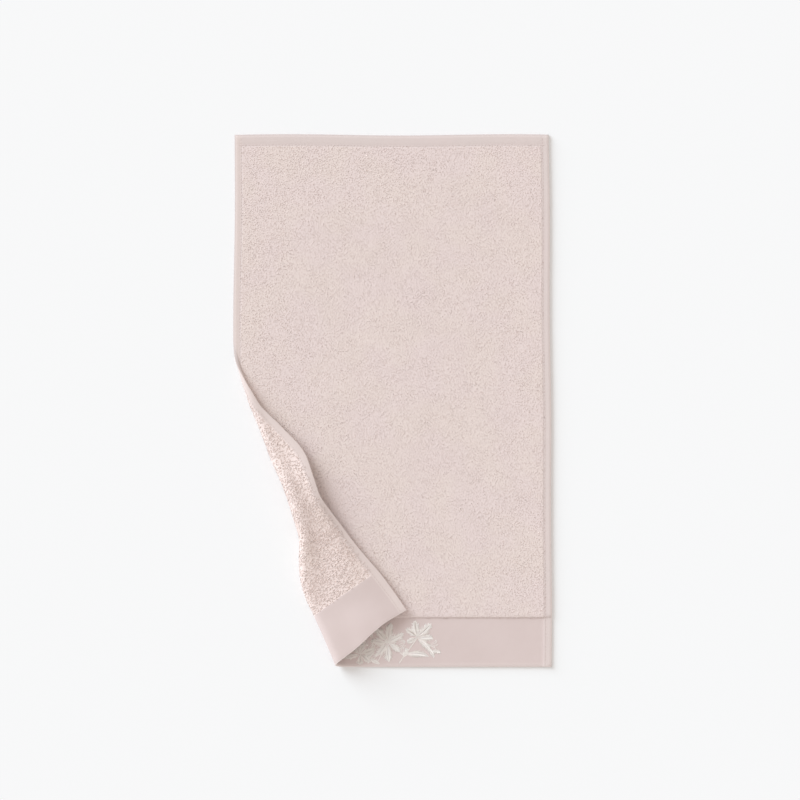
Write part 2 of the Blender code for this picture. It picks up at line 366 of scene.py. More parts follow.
class FoldedTowel:
    """Finds where each point of the flat cloth lies on the folded towel."""

    def __init__(self):
        first, last = FOLD_ROWS[0].along, FOLD_ROWS[-1].along
        self.alongs = np.arange(first - PAST_ENDS, last + PAST_ENDS, ALONG_STEP)
        arcs = np.arange(0.0, FURTHEST_FLAP, ARC_STEP)
        self.outs = np.zeros((len(self.alongs), len(arcs)))
        self.heights = np.zeros_like(self.outs)
        self.lift_offs = np.zeros(len(self.alongs))
        self.reaches = np.zeros(len(self.alongs))
        for index, along in enumerate(self.alongs):
            row = fold_row(along)
            outs, heights = fold_profile(row, FURTHEST_FLAP)
            eased = ease(row)
            lengths = lengths_along(outs, heights)
            self.outs[index] = np.interp(arcs * eased, lengths, outs)
            self.heights[index] = np.interp(arcs * eased, lengths, heights)
            self.lift_offs[index] = row.out - row.radius
            self.reaches[index] = row.reach
        self.shift = np.zeros(2)
        self.shift = -self.middle_of_outline()

    def middle_of_outline(self):
        """The middle of the folded towel's outline."""
        size = sizes()
        across, up = np.meshgrid(np.linspace(0, size.width, 61), np.linspace(0, size.length, 101))
        places = self.back(across.ravel(), up.ravel())[:, :2]
        return (places.min(axis=0) + places.max(axis=0)) / 2

    def laid(self, u, v):
        """Where points of the cloth lie before the corner is folded."""
        size = sizes()
        narrowing = TOP_NARROWING * np.maximum(0.0, v - NARROWING_STARTS)
        narrowing /= size.length - NARROWING_STARTS
        across = (u - size.width / 2) * (1.0 - narrowing) + size.width / 2
        across = across + SIDE_WAVE * np.sin(2 * pi * v / SIDE_WAVE_LENGTH)
        wave = TOP_WAVE * np.sin(2 * pi * u / TOP_WAVE_LENGTH)
        return across, v + wave * ramp(v, TOP_WAVE_STARTS, size.length)

    def about_fold(self, u, v):
        """Distances of laid points along the fold line, and out beyond it."""
        x, y = self.laid(u, v)
        y = y - FOLD_START
        along = x * ALONG_FOLD[0] + y * ALONG_FOLD[1]
        return along, x * OUT_OF_FOLD[0] + y * OUT_OF_FOLD[1]

    def past_lift_off(self, u, v):
        """How far points of the cloth are past the line where it leaves the surface."""
        along, beyond = self.about_fold(u, v)
        return beyond - np.interp(along, self.alongs, self.lift_offs)

    def depth_under_flap(self, u, v):
        """How far points of the lower layer lie in under the flap from its free edge."""
        along, beyond = self.about_fold(u, v)
        covered = np.interp(along, self.alongs, self.reaches) + beyond
        return np.minimum(covered, np.interp(beyond, FLAP_END_OUT, FLAP_END_ALONG) - along)

    def back(self, u, v):
        """Places of the cloth's back face on the folded towel."""
        x, y = self.laid(u, v)
        along, beyond = self.about_fold(u, v)
        arc = beyond - np.interp(along, self.alongs, self.lift_offs)
        rows = (along - self.alongs[0]) / ALONG_STEP
        outs = read_table(self.outs, rows, arc / ARC_STEP)
        heights = read_table(self.heights, rows, arc / ARC_STEP)
        drawn = DRAWN_IN * bump(-outs, DRAWN_MOST_AT, DRAWN_ABOUT_IT) * ramp(along, *DRAWN_ALONG)
        over = arc > 0.0
        folded_x = ALONG_FOLD[0] * (along - drawn) + OUT_OF_FOLD[0] * outs
        folded_y = FOLD_START + ALONG_FOLD[1] * (along - drawn) + OUT_OF_FOLD[1] * outs
        x = np.where(over, folded_x, x) + self.shift[0]
        y = np.where(over, folded_y, y) + self.shift[1]
        return np.stack((x, y, np.where(over, heights, 0.0)), axis=-1)

    def normal(self, u, v):
        """Directions that the towel's face looks in."""
        across = self.back(u + NORMAL_STEP, v) - self.back(u - NORMAL_STEP, v)
        up = self.back(u, v + NORMAL_STEP) - self.back(u, v - NORMAL_STEP)
        normal = np.cross(across, up)
        return normal / np.linalg.norm(normal, axis=-1, keepdims=True)

    def place(self, u, v, height):
        """Places at a height above the cloth's back face, through the cloth to its face."""
        return self.back(u, v) + self.normal(u, v) * np.asarray(height)[..., None]


# ---- The cloth ----


# Stitch lines lie a little in from the hems' inner edges, each in a shallow groove.
STITCH_INSET = 0.0009
GROOVE_HALF_WIDTH = 0.0011
GROOVE_DEPTH = 0.00015
GROOVE_STOPS_IN = 0.002
# How much thicker than the border a side hem is where it crosses it, as a share of elsewhere.
HEM_ON_BORDER = 0.3
# Lumps of the terry's base and of woven cloth, each with a height and a width.
PILE_LUMPS = ((0.00006, 0.0034), (0.00003, 0.009))
WOVEN_LUMPS = ((0.00005, 0.006),)
FACE_SEED = 11
BACK_SEED = 23
# Mesh lines next to the towel's edges, the hems' inner edges and the border's.
EDGE_LINES = (0.0, 0.00012, 0.00035)
HEM_LINE = 0.002
PILE_LINE = 0.0006
BORDER_LINE = 0.0008
# How far in the back lies under its loops, how high up in its thickness the cloth's edge is, the
# length past the lift-off by which the back is free, and the gap round each half of OFBake.
BACK_RECESS = 0.0004
EDGE_HEIGHT = 0.25
LIFTED_BY = 0.004
BAKE_GAP = 0.01


def from_side(u):
    return np.minimum(u, sizes().width - u)


def past_hem(inward, hem):
    """0 in a hem or the border and 1 past it, over the width that the pile takes to rise."""
    return ramp(inward, hem, hem + sizes().pile_edge)


def pile_share(u, v):
    """1 where the cloth has pile, 0 in the hems and the border."""
    size = sizes()
    off_hems = past_hem(from_side(u), size.side_hem) * past_hem(size.length - v, size.top_hem)
    return off_hems * past_hem(v, size.border)


def stitch_groove(u, v):
    """1 along the hems' stitch lines, 0 away from them."""
    size = sizes()
    side = bump(from_side(u), size.side_hem - STITCH_INSET, GROOVE_HALF_WIDTH)
    top = bump(size.length - v, size.top_hem - STITCH_INSET, GROOVE_HALF_WIDTH)
    return np.maximum(side * (v < size.length - GROOVE_STOPS_IN), top)


def cloth_thickness(u, v):
    """Thickness of the cloth, without its loops."""
    size = sizes()
    on_side_hem = 1 - past_hem(from_side(u), size.side_hem)
    full = np.maximum(HEM_ON_BORDER * on_side_hem, past_hem(v, size.border))
    woven = size.border_thick + (size.hem_thick - size.border_thick) * full
    thick = woven + (size.terry_thick - woven) * pile_share(u, v)
    return thick - GROOVE_DEPTH * stitch_groove(u, v)


def lumps(u, v, seed):
    """Unevenness of the terry's base and of the hems."""
    pile = hills(u, v, PILE_LUMPS, seed)
    woven = hills(u, v, WOVEN_LUMPS, seed + len(PILE_LUMPS))
    share = pile_share(u, v)
    return pile * share + woven * (1 - share)


def edge_fullness(u, v):
    """0 on the towel's edge and 1 inside it, along a rounded edge."""
    size = sizes()
    inside = np.minimum(np.minimum(from_side(u), v), size.length - v) / size.edge_round
    short = 1.0 - np.clip(inside, 0.0, 1.0)
    return np.sqrt(1.0 - short * short)


def grid_lines(stops, spacing):
    """Places of mesh lines: every stop, and evenly between them no further apart than spacing."""
    lines = [stops[0]]
    for start, end in zip(stops, stops[1:]):
        count = max(1, round((end - start) / spacing))
        lines += [start + (end - start) * step / count for step in range(1, count + 1)]
    return np.array(lines)


def hem_lines(width):
    """Mesh lines from the towel's edge to where the pile is full, across a hem."""
    size = sizes()
    hem = [width - HEM_LINE, width - STITCH_INSET, width, width + PILE_LINE, width + size.pile_edge]
    return [*EDGE_LINES, size.edge_round] + hem


def across_lines():
    size = sizes()
    left = hem_lines(size.side_hem)
    return grid_lines(left + [size.width - stop for stop in reversed(left)], size.mesh_spacing)


def up_lines():
    size = sizes()
    border = [size.border + step for step in (-BORDER_LINE, 0.0, PILE_LINE, size.pile_edge)]
    top = [size.length - stop for stop in reversed(hem_lines(size.top_hem))]
    return grid_lines([*EDGE_LINES, size.edge_round] + border + top, size.mesh_spacing)


def cloth_faces(towel, u, v):
    """Places of the cloth's back and of its face."""
    thick = cloth_thickness(u, v) + lumps(u, v, FACE_SEED)
    on_fold = ramp(towel.past_lift_off(u, v), 0.0, LIFTED_BY)
    recess = BACK_RECESS * pile_share(u, v) * on_fold + lumps(u, v, BACK_SEED) * on_fold
    full = edge_fullness(u, v)
    middle = (thick + recess) / 2 * full + EDGE_HEIGHT * thick * (1 - full)
    half = (thick - recess) / 2 * full
    lowest = np.where(on_fold > 0, -1.0, 0.0)
    return towel.place(u, v, np.maximum(middle - half, lowest)), towel.place(u, v, middle + half)


def new_object(name, mesh, material):
    """Puts a mesh in the scene as an object with its material."""
    obj = bpy.data.objects.new(name, mesh)
    bpy.context.scene.collection.objects.link(obj)
    mesh.materials.append(material)
    return obj


def mesh_of(name, places, faces):
    """A smooth mesh from arrays of places and of faces, each face array with its own corner count."""
    mesh = bpy.data.meshes.new(name)
    counts = np.concatenate([np.full(len(part), part.shape[1]) for part in faces])
    corners = np.concatenate([part.ravel() for part in faces]).astype(np.int32)
    starts = np.concatenate(([0], np.cumsum(counts)[:-1])).astype(np.int32)
    mesh.vertices.add(len(places))
    mesh.vertices.foreach_set("co", np.ascontiguousarray(places, np.float32).ravel())
    mesh.loops.add(len(corners))
    mesh.loops.foreach_set("vertex_index", corners)
    mesh.polygons.add(len(counts))
    mesh.polygons.foreach_set("loop_start", starts)
    mesh.update(calc_edges=True)
    mesh.shade_smooth()
    return mesh


def cloth_mesh(towel):
    """The cloth as one closed sheet, with its flat places as a UV map in metres."""
    us, vs = across_lines(), up_lines()
    columns, rows = len(us), len(vs)
    u, v = (grid.ravel() for grid in np.meshgrid(us, vs))
    back, face = cloth_faces(towel, u, v)
    index = np.arange(rows * columns).reshape(rows, columns)
    inner = np.zeros((rows, columns), bool)
    inner[1:-1, 1:-1] = True
    back_index = index.copy()
    back_index[inner] = rows * columns + np.arange(inner.sum())
    places = np.concatenate((face, back[inner.ravel()]))

    def quads(of):
        return np.stack((of[:-1, :-1], of[:-1, 1:], of[1:, 1:], of[1:, :-1]), axis=-1).reshape(-1, 4)

    face_quads = quads(index)
    mesh = mesh_of(CLOTH, places, [face_quads, quads(back_index)[:, ::-1]])
    on_back = np.repeat((0.0, 1.0), len(face_quads))
    mesh.attributes.new("on_back", "FLOAT", "FACE").data.foreach_set("value", on_back)
    flat = np.stack((u, v), axis=-1)
    corners = np.concatenate((flat[face_quads].reshape(-1, 2), flat[face_quads[:, ::-1]].reshape(-1, 2)))
    add_uv(mesh, "flat_cloth", corners)
    share = corners / (sizes().width, sizes().length)
    packed = share * (0.5 - 2 * BAKE_GAP, 1 - 2 * BAKE_GAP) + BAKE_GAP
    packed[:, 0] += 0.5 * np.repeat(on_back, 4)
    add_uv(mesh, "OFBake", packed)
    mesh.uv_layers.active = mesh.uv_layers["flat_cloth"]
    mesh.uv_layers["flat_cloth"].active_render = True
    return mesh


def add_uv(mesh, name, corners):
    layer = mesh.uv_layers.new(name=name)
    layer.uv.foreach_set("vector", np.ascontiguousarray(corners, np.float32).ravel())


# ---- Tubes of yarn and thread ----


def unit(vectors):
    return vectors / np.maximum(np.linalg.norm(vectors, axis=-1, keepdims=True), 1e-12)


def tubes(paths, ups, radii, sides, flatness):
    """Closed tubes along many paths of as many points each: their places and faces."""
    count, points = paths.shape[:2]
    ahead = unit(np.gradient(paths, axis=1))
    across = unit(np.cross(ups, ahead))
    high = np.cross(ahead, across)
    turns = np.arange(sides) * 2 * pi / sides + pi / 2
    ring = across[:, :, None, :] * np.cos(turns)[None, None, :, None]
    ring = ring + high[:, :, None, :] * (np.sin(turns) * flatness)[None, None, :, None]
    places = paths[:, :, None, :] + ring * radii[:, :, None, None]
    index = np.arange(count * points * sides).reshape(count, points, sides)
    after = np.roll(index, -1, axis=2)
    walls = np.stack((index[:, :-1], after[:, :-1], after[:, 1:], index[:, 1:]), axis=-1)
    starts = index[:, 0, ::-1]
    ends = index[:, -1]
    return places.reshape(-1, 3), walls.reshape(count, -1, 4), np.concatenate((starts, ends), axis=0)


# A tube's walls lie in the middle of its cell of the OFBake map, with its ends below and above.
WALLS_ACROSS = (0.06, 0.88)
WALLS_UP = (0.20, 0.60)
CAP_RADII = (0.40, 0.07)
CAP_MIDDLES = ((0.5, 0.10), (0.5, 0.90))


def add_tube_maps(mesh, paths, sides):
    """The tubes' UV maps: along_thread goes round and along each, and OFBake gives each its own cell."""
    count, points = paths.shape[:2]
    steps = np.linalg.norm(np.diff(paths, axis=1), axis=-1)
    lengths = np.concatenate((np.zeros((count, 1)), np.cumsum(steps, axis=1)), axis=1)
    shape = (count, points - 1, sides, 4)
    around = np.broadcast_to((np.arange(sides)[:, None] + (0, 1, 1, 0)) / sides, shape)
    share = (np.arange(points - 1)[:, None] + (0, 0, 1, 1)) / (points - 1)
    share = np.broadcast_to(share[None, :, None, :], shape)
    along = np.stack((lengths[:, :-1], lengths[:, :-1], lengths[:, 1:], lengths[:, 1:]), axis=-1)
    along = np.broadcast_to(along[:, :, None, :], shape)
    walls = np.stack((around, along), axis=-1).reshape(-1, 2)
    add_uv(mesh, "along_thread", np.concatenate((walls, np.zeros((2 * count * sides, 2)))))
    turns = np.arange(sides) * 2 * pi / sides
    lit_rim = np.stack((np.cos(turns), np.sin(turns)), axis=-1) * CAP_RADII
    columns = int(np.ceil(np.sqrt(count)))
    cell = np.stack((np.arange(count) % columns, np.arange(count) // columns), axis=-1)
    around = WALLS_ACROSS[0] + WALLS_ACROSS[1] * around
    walls = np.stack((around, WALLS_UP[0] + WALLS_UP[1] * share), axis=-1)
    walls = cell[:, None, None, None, :] + walls
    starts = cell[:, None, :] + lit_rim[::-1] + CAP_MIDDLES[0]
    ends = cell[:, None, :] + lit_rim + CAP_MIDDLES[1]
    corners = [part.reshape(-1, 2) for part in (walls, starts, ends)]
    add_uv(mesh, "OFBake", np.concatenate(corners) / columns)


def tube_piece(name, paths, ups, radii, tints, material, *, flatness, sides=3):
    """One object of many closed tubes, each with its own tint for the material to read."""
    places, walls, caps = tubes(paths, ups, radii, sides, flatness)
    mesh = mesh_of(name, places, [walls.reshape(-1, 4), caps])
    add_tube_maps(mesh, paths, sides)
    layer = mesh.attributes.new("tint", "FLOAT", "POINT")
    layer.data.foreach_set("value", np.repeat(tints, len(places) // len(tints)).astype(np.float32))
    return new_object(name, mesh, material)


# ---- The pile ----


# The shape of one loop, a row for each point along it.
#   ahead    place along the loop, from -1 to 1
#   raised   height above the base cloth, as a share of the loop's height
#   thick    thickness, as a share of the yarn's
LoopPoint = namedtuple("LoopPoint", "ahead raised thick")
# The loops of one side of the cloth.
#   points      a loop's shape
#   lean        how widely the loops' directions spread, in radians
#   length      their length as a share of the usual, and fullness their thickness
#   tallest     how much taller the few standing loops are
#   flatness    how flat their yarn lies, where 1 is round
#   fewest      the share of them that is there in thin patches, and more what full ones add
#   patch       width of such a patch, and seed its random numbers
#   full_from   the value of the noise from which a patch is full
LoopKind = namedtuple(
    "LoopKind", "points lean length fullness tallest flatness fewest more patch seed full_from"
)
SHORT_LOOP = (
    LoopPoint(-1.00, -0.90, 0.70),
    LoopPoint(0.00, 1.00, 1.15),
    LoopPoint(1.00, -0.90, 0.70),
)
LONG_LOOP = (
    LoopPoint(-1.00, -0.60, 0.80),
    LoopPoint(-0.42, 1.00, 1.05),
    LoopPoint(0.42, 1.00, 1.05),
    LoopPoint(1.00, -0.60, 0.80),
)
FACE_LOOPS = LoopKind(SHORT_LOOP, 0.80, 1.0, 1.0, 2.6, 0.78, 0.80, 0.18, 0.012, 10, 0.35)
BACK_LOOPS = LoopKind(LONG_LOOP, 0.45, 1.35, 1.05, 1.5, 0.68, 0.66, 0.34, 0.0090, 9, 0.25)
# The value of the noise up to which a patch is thin.
THIN_UP_TO = -0.35
# The share of loops that stand, how far they stray from their rows, and the most in one piece.
STANDING_SHARE = 0.08
JITTER = 0.62
MOST_LOOPS = 12500
# Loops stand higher and lower in patches.
HEIGHT_PATCHES = ((0.14, 0.017),)
HEIGHT_SEED = 8
# What loops vary over: lengths, heights and yarns as shares of the usual ones, and bends and
# wriggles as shares of half a loop's length.
LENGTHS = (0.62, 1.25)
BENDS = (-0.75, 0.75)
WRIGGLES = (-0.30, 0.30)
HEIGHTS = (0.55, 1.30)
YARNS = (0.80, 1.15)
# Drifts of tint, and the spread from loop to loop.
TINT_DRIFTS = ((0.25, 0.030), (0.10, 0.011))
TINT_SEED = 5
TINT_SPREAD = 0.15
# Where loops stand: how far under the flap, and how far past where the cloth lifts off.
HIDDEN_DEPTH = 0.012
LAST_FACE_LOOP = 0.001
FIRST_BACK_LOOP = 0.0045
# The back's loops keep this far off the hems, but low down some of them lie over a hem.
BACK_MARGIN = 0.0006
HEM_OVERLAP = 0.0040
OVERLAP_LESS_FROM = 0.14
OVERLAP_ENDS = 0.20
OVERLAP_OFF_BORDER = 0.006
# The face's yarns are lighter than the towel's colours by this factor, painted light that makes up for the
# shade on the loops' own sides, and flecks darken both.
YARN_LIGHTER = 1.035
FACE_FLECKED = 0.06
BACK_FLECKED = 0.44


def scattered(rng, pitch):
    """Places all over the cloth, about a pitch apart, with no rows to be seen."""
    size = sizes()
    grids = np.meshgrid(np.arange(0.0, size.width, pitch), np.arange(0.0, size.length, pitch))
    return [grid.ravel() + rng.uniform(-JITTER, JITTER, grid.size) * pitch for grid in grids]


def loop_tints(rng, u, v):
    """Each loop's tint, from 0 to 1: drifts of colour, broken up from loop to loop."""
    drift = hills(u, v, TINT_DRIFTS, TINT_SEED)
    return np.clip(0.5 + drift + rng.normal(0.0, TINT_SPREAD, u.shape), 0.0, 1.0)


def loop_paths(towel, rng, u, v, on_back):
    """Paths, upward directions and radii of loops that stand at places of the cloth."""
    pile, kind = pile_sizes(), BACK_LOOPS if on_back else FACE_LOOPS
    count = len(u)
    ahead, raised, thick = np.array(kind.points).T
    turn = rng.normal(0.0, kind.lean, count)
    half = 0.5 * pile.loop_length * kind.length * rng.uniform(*LENGTHS, count)
    bend = half * rng.uniform(*BENDS, count)
    wriggle = half * rng.uniform(*WRIGGLES, count)
    along = half[:, None] * ahead
    sideways = bend[:, None] * (1 - ahead**2) + wriggle[:, None] * np.sin(pi * ahead)
    u_points = u[:, None] + along * np.cos(turn)[:, None] - sideways * np.sin(turn)[:, None]
    v_points = v[:, None] + along * np.sin(turn)[:, None] + sideways * np.cos(turn)[:, None]
    standing = np.where(rng.uniform(0.0, 1.0, count) < STANDING_SHARE, kind.tallest, 1.0)
    loft = (pile.back_loft if on_back else 1.0) * (1.0 + hills(u, v, HEIGHT_PATCHES, HEIGHT_SEED))
    height = (pile.loop_height * loft * rng.uniform(*HEIGHTS, count) * standing)[:, None] * raised
    if on_back:
        heights = BACK_RECESS * pile_share(u, v)[:, None] - height
    else:
        heights = cloth_thickness(u, v)[:, None] + height
    paths = towel.place(u_points, v_points, heights)
    ups = towel.normal(u_points, v_points) * (-1.0 if on_back else 1.0)
    radii = kind.fullness * pile.yarn_radius * rng.uniform(*YARNS, count)[:, None] * thick
    return paths, ups, radii


def in_pile(u, v, margin):
    """Places that are in the pile, a margin in from where it ends."""
    size = sizes()
    inside = np.minimum(from_side(u) - size.side_hem, size.length - v - size.top_hem)
    return np.minimum(inside, v - size.border) > margin


def kept(rng, u, v, kind):
    """Places whose loops are there. In thin patches some are missing."""
    patches = ramp(smooth_noise(u, v, kind.patch, kind.seed), THIN_UP_TO, kind.full_from)
    return rng.uniform(0.0, 1.0, u.shape) < kind.fewest + kind.more * patches


def shown_on_face(towel, rng, u, v):
    """Places whose loops stand on the towel's face and show, or nearly."""
    clear = towel.depth_under_flap(u, v) < HIDDEN_DEPTH
    laid = towel.past_lift_off(u, v) < LAST_FACE_LOOP
    return laid & clear & in_pile(u, v, 0.0) & kept(rng, u, v, FACE_LOOPS)


def shown_on_back(towel, rng, u, v):
    """Places whose loops stand on the flap's back. Low down they thin out over its hem."""
    low = ramp(-v, -OVERLAP_ENDS, -OVERLAP_LESS_FROM)
    over_hem = HEM_OVERLAP * rng.uniform(0.0, 1.0, u.shape) * low
    off_border = v > sizes().border + OVERLAP_OFF_BORDER
    inside = in_pile(u, v, BACK_MARGIN - np.where(off_border, over_hem, 0.0))
    lifted = towel.past_lift_off(u, v) > FIRST_BACK_LOOP
    return lifted & inside & kept(rng, u, v, BACK_LOOPS)


def pile_pieces(towel):
    """The loops of the towel's face and of the flap's back, in pieces of a few thousand each."""
    rng = np.random.default_rng(pile_sizes().seed)
    tint = colours()
    face_yarns = [np.array(shade) * YARN_LIGHTER for shade in (tint.blush, tint.rose, tint.sand)]
    face_finish = yarn_finish("terry_yarn", *face_yarns, FACE_FLECKED, FACE_FLECKS)
    # The back's yarn takes the lighter nap colour, painted light.
    back_finish = yarn_finish("back_yarn", tint.sand, tint.lit_nap, tint.lit_nap, BACK_FLECKED, BACK_FLECKS)
    sides = (
        ("face", shown_on_face, face_finish, FACE_LOOPS.flatness),
        ("back", shown_on_back, back_finish, BACK_LOOPS.flatness),
    )
    pieces = []
    for side, shown, finish, flatness in sides:
        u, v = scattered(rng, pile_sizes().pitch)
        keep = shown(towel, rng, u, v)
        count = -(-keep.sum() // MOST_LOOPS)
        parts = zip(np.array_split(u[keep], count), np.array_split(v[keep], count))
        for number, (some_u, some_v) in enumerate(parts, 1):
            paths, ups, radii = loop_paths(towel, rng, some_u, some_v, side == "back")
            tints = loop_tints(rng, some_u, some_v)
            name = f"loops_{side}_{number}"
            pieces.append(tube_piece(name, paths, ups, radii, tints, finish, flatness=flatness))
    return pieces


# ---- Stitches ----


# How far in from the towel's edges the stitch lines start and end.
SIDE_LINES_FROM = 0.002
LINES_STOP_IN = 0.003
# The shape of one stitch: places along it, heights, and thickness, as shares.
STITCH_AHEAD = np.array((-1.0, -0.6, 0.0, 0.6, 1.0))
STITCH_RAISED = np.array((-0.9, 0.35, 0.75, 0.35, -0.9))
STITCH_THICK = np.array((0.7, 1.0, 1.0, 1.0, 0.7))
STITCH_SWAY = 0.00006
STITCH_SEED = 31


def stitch_lines():
    """The hems' stitch lines as (start, end) places on the flat cloth."""
    size = sizes()
    side = size.side_hem - STITCH_INSET
    far = size.width - side
    top = size.length - size.top_hem + STITCH_INSET
    return (
        ((side, SIDE_LINES_FROM), (side, size.length - LINES_STOP_IN)),
        ((far, SIDE_LINES_FROM), (far, size.length - LINES_STOP_IN)),
        ((LINES_STOP_IN, top), (size.width - LINES_STOP_IN, top)),
    )


def hem_stitches(towel):
    """The stitches of the hems, on the towel's face and, where the flap shows it, on its back."""
    thread = thread_sizes()
    rng = np.random.default_rng(STITCH_SEED)
    ahead = STITCH_AHEAD * thread.stitch_length / 2
    raised = STITCH_RAISED * thread.stitch_radius
    all_paths, all_ups = [], []
    for start, end in np.array(stitch_lines()):
        length = hypot(*(end - start))
        count = int(length / (thread.stitch_length + thread.stitch_gap))
        direction = (end - start) / length
        lengths = ((np.arange(count) + 0.5) * length / count)[:, None] + ahead
        sway = rng.normal(0.0, STITCH_SWAY, (count, 1))
        u = start[0] + direction[0] * lengths + direction[1] * sway
        v = start[1] + direction[1] * lengths - direction[0] * sway
        lifted = towel.past_lift_off(u, v).min(axis=1) > LIFTED_BY
        face = (cloth_thickness(u, v) + raised, 1.0, np.ones(count, bool))
        back = (-raised * np.ones_like(u), -1.0, lifted)
        for heights, side, shown in (face, back):
            all_paths.append(towel.place(u, v, heights)[shown])
            all_ups.append(towel.normal(u, v)[shown] * side)
    paths, ups = np.concatenate(all_paths), np.concatenate(all_ups)
    radii = np.full(paths.shape[:2], thread.stitch_radius) * STITCH_THICK
    tints = rng.uniform(0.0, 1.0, len(paths))
    finish = thread_finish("hem_thread", colours().thread, colours().woven)
    return tube_piece("hem_stitches", paths, ups, radii, tints, finish, sides=5, flatness=1.0)


# ---- The embroidered sprig ----


# Places on the border are in millimetres: across from the towel's middle, and up from its edge.
#   Petal     where it starts, its direction in degrees, its length and width, and how much it bows
#   Stem      where it starts, the point it bends towards, where it ends, and its width
#   Spray     where its fine stalks start, their middle direction and spread, length and number,
#             and 1 where each stalk ends in a knot
#   Knots     the middle of a cluster, its radius and how many knots it has
Petal = namedtuple("Petal", "across up turn length width bow")
Stem = namedtuple("Stem", "across up bend_across bend_up end_across end_up width")
Spray = namedtuple("Spray", "across up turn spread length count knotted")
Knots = namedtuple("Knots", "across up radius count")
PETALS = (
    # the right-hand blossom
    Petal(23.6, 29.4, 99, 15.0, 7.4, 0.4),
    Petal(24.6, 29.2, 44, 17.6, 7.6, -0.6),
    Petal(24.8, 27.8, -6, 14.6, 6.4, 0.6),
    Petal(24.2, 26.8, -46, 18.4, 6.4, 0.9),
    Petal(22.6, 29.0, 146, 12.4, 6.6, -0.4),
    Petal(22.6, 27.2, 204, 10.0, 5.4, 0.3),
    # the middle blossom
    Petal(-4.0, 25.2, 80, 17.2, 7.6, 0.5),
    Petal(-2.8, 24.0, 30, 16.2, 7.0, -0.6),
    Petal(-5.6, 24.8, 128, 17.8, 7.8, 0.6),
    Petal(-6.4, 22.8, 176, 14.8, 6.8, -0.4),
    Petal(-5.2, 21.4, 228, 15.6, 7.0, 0.5),
    Petal(-3.8, 21.0, 274, 17.4, 7.4, -0.4),
    Petal(-2.6, 22.2, 322, 13.4, 6.0, 0.4),
    # the left-hand blossom
    Petal(-30.0, 13.4, 76, 15.0, 6.8, 0.5),
    Petal(-28.4, 12.4, 22, 13.4, 6.2, -0.4),
    Petal(-31.4, 12.8, 136, 14.2, 6.6, 0.4),
    Petal(-31.2, 11.2, 192, 12.4, 5.6, -0.3),
    Petal(-29.6, 10.8, 262, 9.0, 5.4, 0.4),
    Petal(-28.4, 11.2, 322, 11.4, 5.6, -0.4),
    # leaves
    Petal(13.4, 12.2, -7, 22.4, 6.4, 1.6),
    Petal(10.8, 9.0, 66, 9.6, 4.4, -0.6),
    Petal(34.2, 18.4, -62, 12.0, 4.6, 0.5),
    Petal(37.4, 15.4, -14, 9.4, 3.8, 0.3),
    Petal(-16.6, 14.6, 212, 12.0, 5.0, 0.5),
    Petal(-18.6, 27.0, 118, 13.6, 5.6, -0.6),
    Petal(-16.4, 31.0, 84, 11.8, 5.0, 0.4),
    Petal(-41.0, 8.6, 168, 9.0, 4.4, 0.3),
    Petal(-20.4, 8.0, 330, 11.0, 4.6, -0.4),
)
STEMS = (
    Stem(23.6, 27.4, 16.0, 17.0, 6.6, 3.4, 1.1),
    Stem(-5.2, 21.0, -10.0, 12.4, -13.8, 3.6, 0.9),
    Stem(-6.4, 22.4, -12.6, 21.0, -19.6, 25.4, 0.8),
    Stem(-32.0, 11.4, -38.0, 7.4, -44.0, 8.0, 0.8),
    Stem(27.4, 25.4, 33.6, 22.0, 37.6, 13.4, 0.8),
    Stem(-24.8, 9.0, -21.0, 8.2, -16.6, 3.8, 0.8),
)
SPRAYS = (
    Spray(24.0, 28.6, 72, 80, 6.0, 9, 1),
    Spray(-4.2, 23.2, 15, 110, 8.6, 16, 1),
    Spray(-4.6, 23.0, 165, 110, 8.0, 14, 1),
    Spray(-29.8, 12.0, 80, 140, 7.0, 14, 1),
    Spray(11.0, 10.4, 106, 70, 9.6, 8, 1),
    Spray(-13.4, 11.6, 196, 90, 8.0, 10, 0),
    Spray(34.4, 20.2, 8, 70, 7.4, 7, 1),
    Spray(-22.6, 20.0, 150, 110, 8.6, 12, 0),
    Spray(12.4, 24.0, 190, 120, 6.2, 10, 0),
    Spray(-18.0, 22.0, 260, 90, 8.4, 10, 0),
)
KNOTS = (
    Knots(23.8, 28.4, 2.1, 14),
    Knots(-4.3, 23.2, 2.7, 20),
    Knots(-29.8, 12.0, 2.3, 14),
    Knots(8.4, 18.6, 3.0, 9),
    Knots(-15.2, 18.0, 3.8, 14),
)
# A petal's outline: half its width is a scale times powers of the shares to its foot and its tip.
OUTLINE_SCALE = 1.27
OUTLINE_FOOT = 0.45
OUTLINE_TIP = 1.05
# Satin stitches of a petal: the gap between them, their lean, how far up it they start, what keeps
# the last ones inside its tip, and the half width from which it is padded in full.
SATIN_GAP = 0.00024
SATIN_LEAN = 1.05
SATIN_UP_TO = 0.97
LEAN_UP_TO = 1.03
LEAN_SHARE = 0.8
FULL_HALF_WIDTH = 0.0010
# They vary in tufts of a few stitches, and from one to the next.
TUFT = 4
TUFTS = (0.66, 1.26)
RAGGED = (0.88, 1.12)
# Along each from the vein outwards: its points, and their heights as shares of the padding.
SATIN_STEPS = np.array((0.03, 0.30, 0.68, 1.0))
SATIN_RISE = np.array((0.60, 1.00, 0.90, 0.25))
# Petals are creamier at the foot: their tint there, what the tip adds, and how much stitches vary.
FOOT_TINT = 0.35
TIP_ADDS = 0.5
TINT_NOISE = 0.12
# Stem stitches: their length, how much they overlap, and the rows that thick stems are made of.
STEM_STROKE = 0.0022
STEM_PITCH = 0.45
STEM_ROW = 0.00026
ROW_STAGGER = 0.3
STEM_STEPS = np.array((-0.5, -0.17, 0.17, 0.5))
STEM_SLANT = np.array((-0.9, -0.315, 0.315, 0.9))
STEM_RISE = np.array((0.0, 0.55, 0.60, 0.0))
STEM_TINT = 0.35
# The stalks of a spray vary in direction, in degrees, in length and in how much they bow.
STALK_TURNS = (-4, 4)
STALK_LENGTHS = (0.72, 1.12)
STALK_BOW = 0.15
STALK_TINT = 0.7
